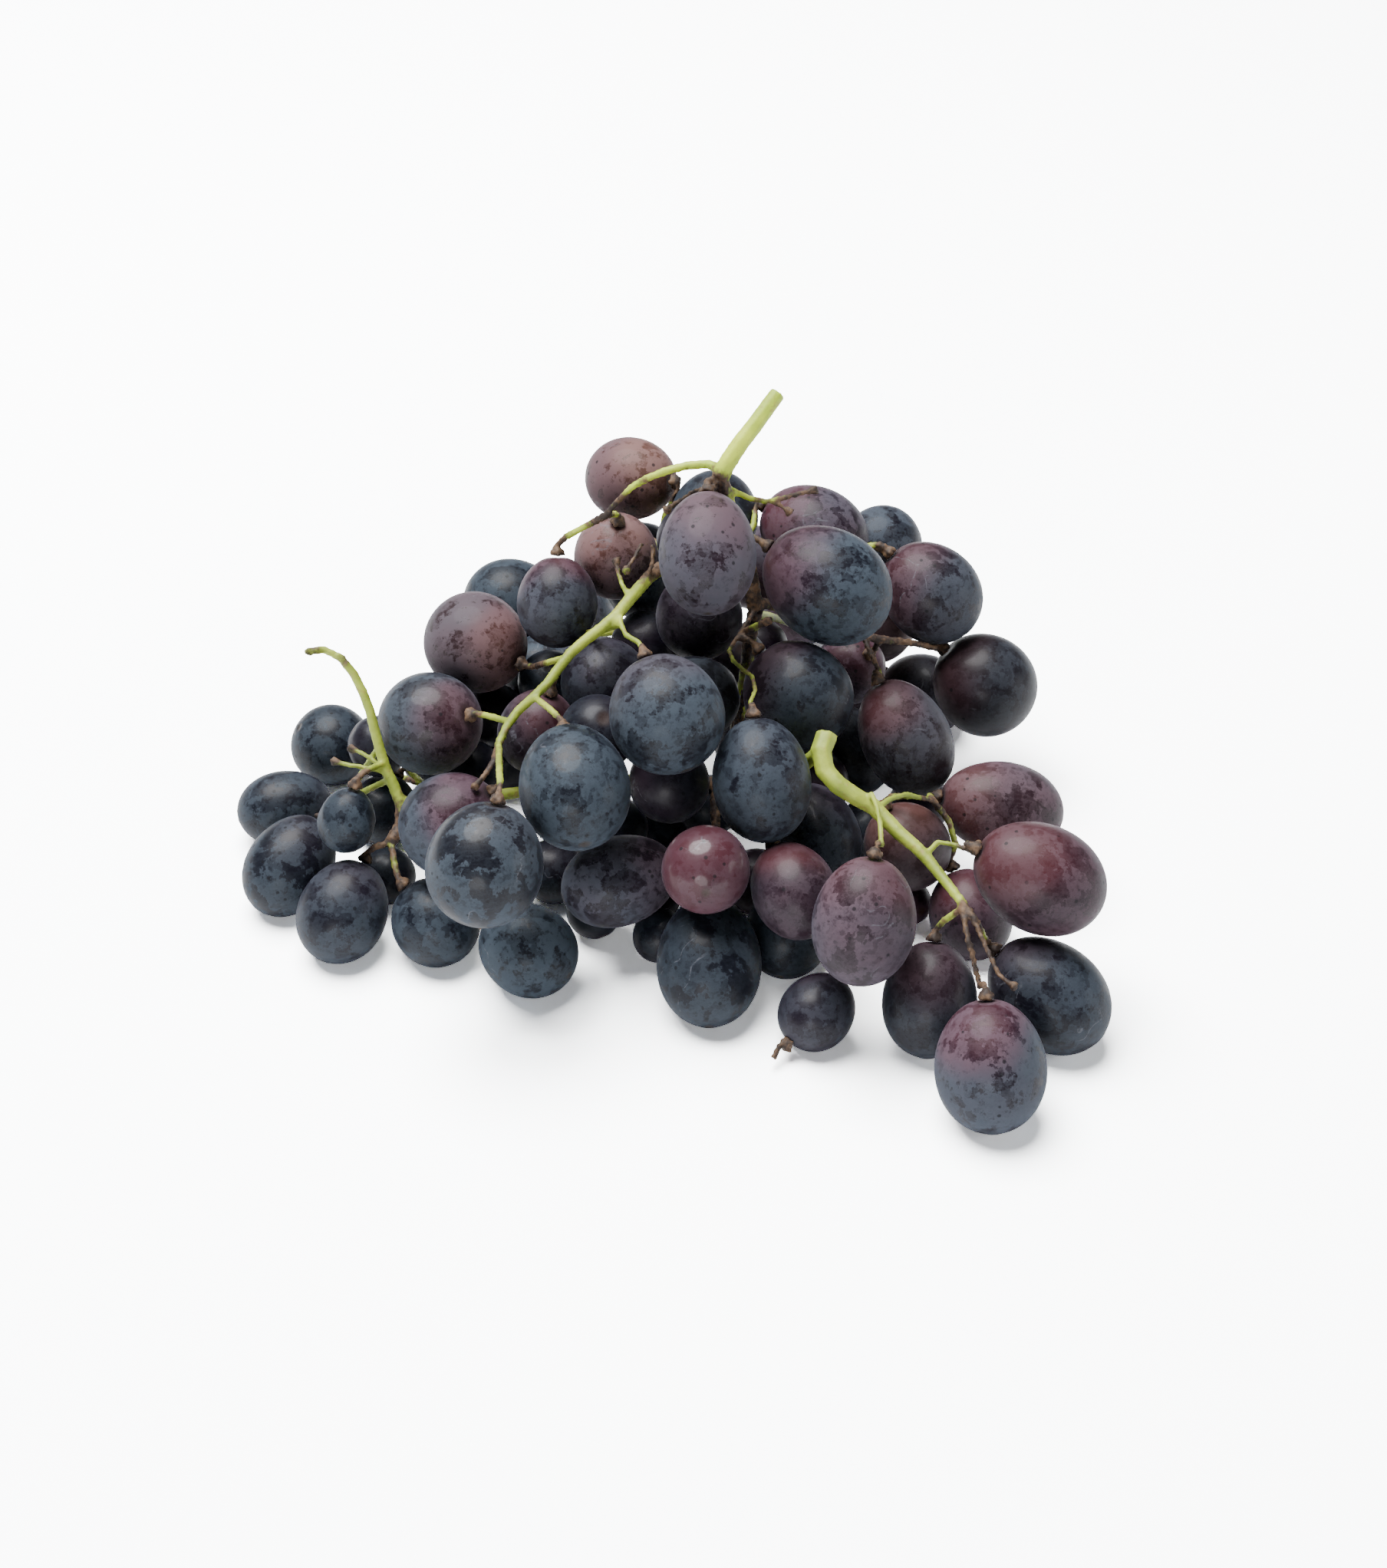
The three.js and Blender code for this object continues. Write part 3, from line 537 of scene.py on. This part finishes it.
class Socket:
    """A node's output that can be reckoned with: sums, products and the rest become Math nodes."""

    def __init__(self, material, output):
        self.material = material
        self.output = output

    def math(self, operation, *others, clamp=False):
        return self.material.node("ShaderNodeMath", [self, *others], operation=operation, use_clamp=clamp)

    def __add__(self, other):
        return self.math("ADD", other)

    def __sub__(self, other):
        return self.math("SUBTRACT", other)

    def __rsub__(self, other):
        return (self * -1).math("ADD", other)

    def __mul__(self, other):
        return self.math("MULTIPLY", other)

    __radd__ = __add__
    __rmul__ = __mul__

    def between(self, low, high):
        """0 below low, 1 above high, with a smooth rise; it falls where low is above high."""
        share = ((self - low) * (1 / (high - low))).clamped()
        return share * share * (3 - 2 * share)

    def clamped(self):
        """No less than 0 and no more than 1."""
        return self.math("ADD", 0, clamp=True)


class Material:
    """A material's node tree, with its Principled surface."""

    def __init__(self, name):
        self.material = bpy.data.materials.new(name)
        self.material.use_nodes = True
        self.nodes = self.material.node_tree.nodes
        self.surface = self.nodes["Principled BSDF"]

    def node(self, kind, inputs=(), out=0, **settings):
        """One output of a node of any kind, with its inputs set to values or joined to sockets.

        Inputs are given by number or name. The settings come first, because they can change the inputs.
        """
        node = self.nodes.new(kind)
        for setting, value in settings.items():
            setattr(node, setting, value)
        pairs = inputs.items() if isinstance(inputs, dict) else enumerate(inputs)
        for place, value in pairs:
            self.join(node.inputs[place], value)
        return Socket(self, node.outputs[out])

    def join(self, place, value):
        """Link a socket to an input, or set the input to a plain value."""
        if isinstance(value, Socket):
            self.material.node_tree.links.new(value.output, place)
        else:
            place.default_value = value

    def field(self, name):
        """The numbers that the piece's points hold under a name."""
        return self.node("ShaderNodeAttribute", attribute_name=name, out="Fac")

    def place(self):
        """Where a point of the piece is, in metres."""
        return self.node("ShaderNodeTexCoord", out="Object")

    def stretched(self, scale, turn=(0, 0, 0)):
        """The place of a point, turned and then scaled, for patterns that run along a slant."""
        return self.node("ShaderNodeMapping", {"Vector": self.place(), "Scale": scale, "Rotation": turn})

    def noise(self, scale, detail=3.0, roughness=0.5, at=None):
        """Cloudy numbers round 0.5, with scale clouds to the metre."""
        inputs = {"Vector": at or self.place(), "Scale": scale, "Detail": detail, "Roughness": roughness}
        return self.node("ShaderNodeTexNoise", inputs)

    def mixed(self, factor, first, second):
        """A colour from the first, at factor 0, to the second, at factor 1."""
        return self.node("ShaderNodeMix", {0: factor, 6: first, 7: second}, out=2, data_type="RGBA")

    def finish(self, **inputs):
        """The material, with its surface's named inputs joined to sockets."""
        for name, value in inputs.items():
            self.join(self.surface.inputs[name.replace("_", " ")], value)
        return self.material


def colour(red, green, blue):
    """A colour of light from the 0 to 255 numbers of a screen."""
    shares = [value / 255 for value in (red, green, blue)]
    return (*[share / 12.92 if share <= 0.04045 else ((share + 0.055) / 1.055) ** 2.4 for share in shares], 1)


BLUE_BLACK, PLUM, WINE_RED = colour(9, 12, 22), colour(30, 16, 28), colour(66, 31, 40)
WITHERED_BROWN = colour(84, 58, 46)
BLUE_WAX, MAUVE_WAX, BROWN_WAX = colour(66, 77, 88), colour(94, 75, 86), colour(134, 103, 97)
SPECK_BLACK = colour(7, 7, 12)
SCUFF_GREY = colour(104, 106, 114)
STALK_RING_BROWN = colour(48, 32, 26)
BLOSSOM_SCAR_BROWN = colour(52, 42, 34)
PALE_BLUE_SHEEN = colour(190, 202, 226)
SKIN_RELIEF = 0.12 * MM


def skin_material():
    """Dark skin, red at some stalk ends, under a waxy bloom.

    Bloom is the grape's own thickness times drifting clouds, less what is rubbed off: large patches with
    sharp edges, chips and small flecks. It has a fine mottling and streaks. Dark specks, pale scuffs, the
    rough ring at the stalk and the blossom scar lie over it.
    """
    skin = Material("dark_grape_skin")
    red, brown, wax = skin.field("red"), skin.field("brown"), skin.field("wax")
    stalk_end, blossom_end = skin.field("stalk_end"), skin.field("blossom_end")
    gloss, specks = skin.field("gloss"), skin.field("specks")
    slow = skin.noise(90, 2)
    cloud = skin.noise(250, 4, 0.6)
    patch = skin.noise(150, 5, 0.62, at=skin.stretched((1, 1.25, 0.8), (0.4, 0.2, 0.9))).between(0.52, 0.535)
    chip = skin.noise(430, 4, 0.6, at=skin.stretched((1, 0.7, 1.2), (0.9, 0.1, 0.3))).between(0.545, 0.565)
    fleck = skin.noise(900, 3, 0.6).between(0.57, 0.61)
    grain = skin.noise(2300, 3, 0.7)
    streak = skin.noise(1300, 3, 0.6, at=skin.stretched((0.22, 1.5, 1.0), (0.7, 0.5, 1.2)))
    redness = (red * (0.6 + slow * 0.8) + (cloud - 0.5) * 0.3 * red).clamped()
    flesh = skin.mixed(redness.between(0.0, 0.5), BLUE_BLACK, PLUM)
    flesh = skin.mixed(redness.between(0.4, 1.0), flesh, WINE_RED)
    flesh = skin.mixed((brown * 0.75).clamped(), flesh, WITHERED_BROWN)
    worn = (patch * (0.6 + specks * 0.3) + chip * 0.45 + fleck * 0.35).clamped()
    thickness = wax * (0.57 + cloud * 1.0) * (1 - worn * 0.93)
    bloom = (thickness + (grain - 0.5) * 0.6 * wax + (streak - 0.5) * 0.6 * wax).clamped()
    wax_tint = skin.mixed(redness.between(0.05, 0.6), BLUE_WAX, MAUVE_WAX)
    wax_tint = skin.mixed((brown * 0.8).clamped(), wax_tint, BROWN_WAX)
    base = skin.mixed(bloom * 0.75, flesh, wax_tint)
    speckle = skin.node("ShaderNodeTexVoronoi", {"Vector": skin.stretched((1, 1, 1)), "Scale": 330.0})
    speck = speckle.between(0.18, 0.1) * (skin.noise(170, 1) + specks * 0.25).between(0.52, 0.66)
    base = skin.mixed(speck * 0.75, base, SPECK_BLACK)
    scuff = (skin.noise(85, 2) - 0.5).math("ABSOLUTE").between(0.009, 0.003)
    scuff = scuff * skin.noise(60, 1).between(0.6, 0.66) * streak.between(0.4, 0.6)
    base = skin.mixed(scuff * 0.45, base, SCUFF_GREY)
    base = skin.mixed((stalk_end * 0.75).clamped(), base, STALK_RING_BROWN)
    base = skin.mixed(blossom_end * 0.8, base, BLOSSOM_SCAR_BROWN)
    rough = 0.4 + bloom * 0.35 + speck * 0.1
    dent = cloud * 0.5 + grain * 0.2 + bloom * 0.3
    bump = skin.node("ShaderNodeBump", {"Strength": 0.35, "Distance": SKIN_RELIEF, "Height": dent})
    shine = gloss * (1 - worn * 0.3)
    material = skin.finish(Base_Color=base, Roughness=rough, Normal=bump, Coat_Weight=shine)
    skin.surface.inputs["Coat Roughness"].default_value = 0.12
    skin.surface.inputs["Specular IOR Level"].default_value = 0.2
    skin.surface.inputs["Sheen Weight"].default_value = 0.06
    skin.surface.inputs["Sheen Roughness"].default_value = 0.4
    skin.surface.inputs["Sheen Tint"].default_value = PALE_BLUE_SHEEN
    return material


FRESH_GREENS = colour(202, 218, 66), colour(168, 192, 50)
OLIVE_GREENS = colour(168, 182, 66), colour(132, 148, 46)
BARK_BROWNS = colour(46, 34, 28), colour(104, 80, 58)
TAN = colour(150, 120, 70)
CRACK_BROWN = colour(60, 40, 30)
OLIVE_BELOW, FRESH_ABOVE = 62 * MM, 88 * MM
BARK_RELIEF = 0.2 * MM


def stem_material():
    """Pale green wood, more olive low in the bunch, that dries to brown, with a rough bark, and is browned
    among the grapes as painted shade.
    """
    wood = Material("green_stem")
    dry = wood.field("dry")
    slow, cloud, fine = wood.noise(120, 3), wood.noise(420, 4, 0.6), wood.noise(1900, 3, 0.6)
    # Brown where the stem dried, and among the grapes as painted shade.
    browned = (dry + (cloud - 0.5) * 0.9 + (slow - 0.5) * 0.5).between(0.3, 0.62)
    green = wood.mixed(slow.between(0.35, 0.65), *FRESH_GREENS)
    olive = wood.mixed(slow.between(0.35, 0.65), *OLIVE_GREENS)
    height = wood.node("ShaderNodeSeparateXYZ", [wood.place()], out="Z")
    green = wood.mixed(height.between(OLIVE_BELOW, FRESH_ABOVE), olive, green)
    green = wood.mixed(cloud.between(0.56, 0.72) * 0.5, green, TAN)
    bark = wood.mixed(cloud.between(0.4, 0.65), *BARK_BROWNS)
    base = wood.mixed(browned, green, bark)
    base = wood.mixed(fine.between(0.62, 0.72) * 0.35, base, CRACK_BROWN)
    relief = cloud * 0.6 + fine * 0.4
    bump = wood.node("ShaderNodeBump", {"Strength": 0.6, "Distance": BARK_RELIEF, "Height": relief})
    return wood.finish(Base_Color=base, Roughness=0.55 + browned * 0.15, Normal=bump)


# The table's colour as a source of bounced light, and as the camera shows it. No real paper is over 1.
TABLE_AS_LIGHT = (1.15, 1.17, 1.19, 1)
TABLE_AS_SEEN = (4.0, 4.08, 4.12, 1)


def white_table_material():
    """Matt white paper, which shows brighter than it lights the grapes, as on an overexposed photograph."""
    paper = Material("white_table")
    lighting = paper.node("ShaderNodeBsdfDiffuse", {"Color": TABLE_AS_LIGHT}, out="BSDF")
    shown = paper.node("ShaderNodeBsdfDiffuse", {"Color": TABLE_AS_SEEN}, out="BSDF")
    seen = paper.node("ShaderNodeLightPath", out="Is Camera Ray")
    both = paper.node("ShaderNodeMixShader", {0: seen, 1: lighting, 2: shown})
    paper.join(paper.nodes["Material Output"].inputs["Surface"], both)
    return paper.material


# The bunch

grape_nodes = sorted(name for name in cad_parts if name.startswith("grape"))
grapes = [fitted_grape(node) for node in grape_nodes]
stem_points = corners("stem")
inner = tucked_grapes(grapes, stem_points)
skins = [dress_grape(grape, number) for number, grape in enumerate(grapes + inner)]
for grape, skin in zip(grapes, skins):
    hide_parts(grape.name)

knobs = [(grape.stalk_seat(), KNOB_REACH, KNOB_DRYNESS) for grape in grapes]
spots = [(point_seen(*spot[:3]), spot[3] * MM, spot[4]) for spot in DRY_AND_SHADE_SPOTS]
# The stem is browned at the knobs and dry parts, and among the grapes as painted shade.
stem = rounded_stem("stem", STEM_VOXEL, knobs + spots)
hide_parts("stem")
loose_stalk = (corners("fallen_stalk").mean(axis=0), LOOSE_STALK_REACH, LOOSE_STALK_DRYNESS)
stalk = rounded_stem("fallen_stalk", STALK_VOXEL, [loose_stalk])
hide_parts("fallen_stalk")

skin_look = skin_material()
for skin in skins:
    skin.data.materials.append(skin_look)
stem_look = stem_material()
for piece in (stem, stalk):
    piece.data.materials.append(stem_look)

# The table, the light and the view

TABLE_HALF = 4
TABLE_CORNERS = [
    (-TABLE_HALF, -TABLE_HALF, 0),
    (TABLE_HALF, -TABLE_HALF, 0),
    (TABLE_HALF, TABLE_HALF, 0),
    (-TABLE_HALF, TABLE_HALF, 0),
]
table_mesh = bpy.data.meshes.new("white_table")
table_mesh.from_pydata(TABLE_CORNERS, [], [(0, 1, 2, 3)])
table = bpy.data.objects.new("white_table", table_mesh)
bpy.context.scene.collection.objects.link(table)
table_mesh.materials.append(white_table_material())


def soft_light(name, place, size, power):
    """A round lamp aimed at the middle of the table: place and width in metres, power in watts."""
    lamp = bpy.data.lights.new(name, "AREA")
    lamp.shape, lamp.size, lamp.energy = "DISK", size, power
    light = bpy.data.objects.new(name, lamp)
    light.location = place
    away = -np.array(place) / np.linalg.norm(place)
    level = math.atan2(away[1], away[0])
    light.rotation_euler = (math.acos(-away[2]), 0, level - math.pi / 2)
    bpy.context.scene.collection.objects.link(light)
    return light


lights = [
    soft_light("over_light", (-0.3, 0.28, 1.3), 1.2, 57),
    soft_light("back_light", (-0.3, 1.3, 1.1), 0.9, 2),
    soft_light("front_light", (-0.3, -1.6, 0.16), 0.9, 16),
    soft_light("right_light", (1.4, -0.3, 0.3), 0.8, 5),
    soft_light("small_lamp", (-0.4, 0.12, 1.4), 0.2, 1.5),
]


def pale_room(lighting, shown):
    """A white world with one strength for the light it gives and another for what the camera sees of it."""
    world = bpy.data.worlds.new("pale_room")
    bpy.context.scene.world = world
    world.use_nodes = True
    nodes, links = world.node_tree.nodes, world.node_tree.links
    lit = nodes["Background"]
    seen = nodes.new("ShaderNodeBackground")
    for background, strength in ((lit, lighting), (seen, shown)):
        background.inputs["Color"].default_value = (1, 1, 1, 1)
        background.inputs["Strength"].default_value = strength
    both = nodes.new("ShaderNodeMixShader")
    links.new(nodes.new("ShaderNodeLightPath").outputs["Is Camera Ray"], both.inputs[0])
    links.new(lit.outputs[0], both.inputs[1])
    links.new(seen.outputs[0], both.inputs[2])
    links.new(both.outputs[0], nodes["World Output"].inputs["Surface"])


ROOM_AS_LIGHT, ROOM_AS_SEEN = 0.03, 1.4
pale_room(ROOM_AS_LIGHT, ROOM_AS_SEEN)

SENSOR = 36
camera_data = bpy.data.cameras.new("photo_camera")
camera_data.sensor_fit = "AUTO"
camera_data.sensor_width = SENSOR
camera_data.lens = SENSOR * PHOTO_FOCAL_PIXELS / PHOTO_HEIGHT
camera_data.clip_start, camera_data.clip_end = 0.01, 50
camera = bpy.data.objects.new("photo_camera", camera_data)
camera.location = EYE
camera.rotation_euler = (math.pi / 2 - PHOTO_SLOPE, 0, 0)
bpy.context.scene.collection.objects.link(camera)
bpy.context.scene.camera = camera
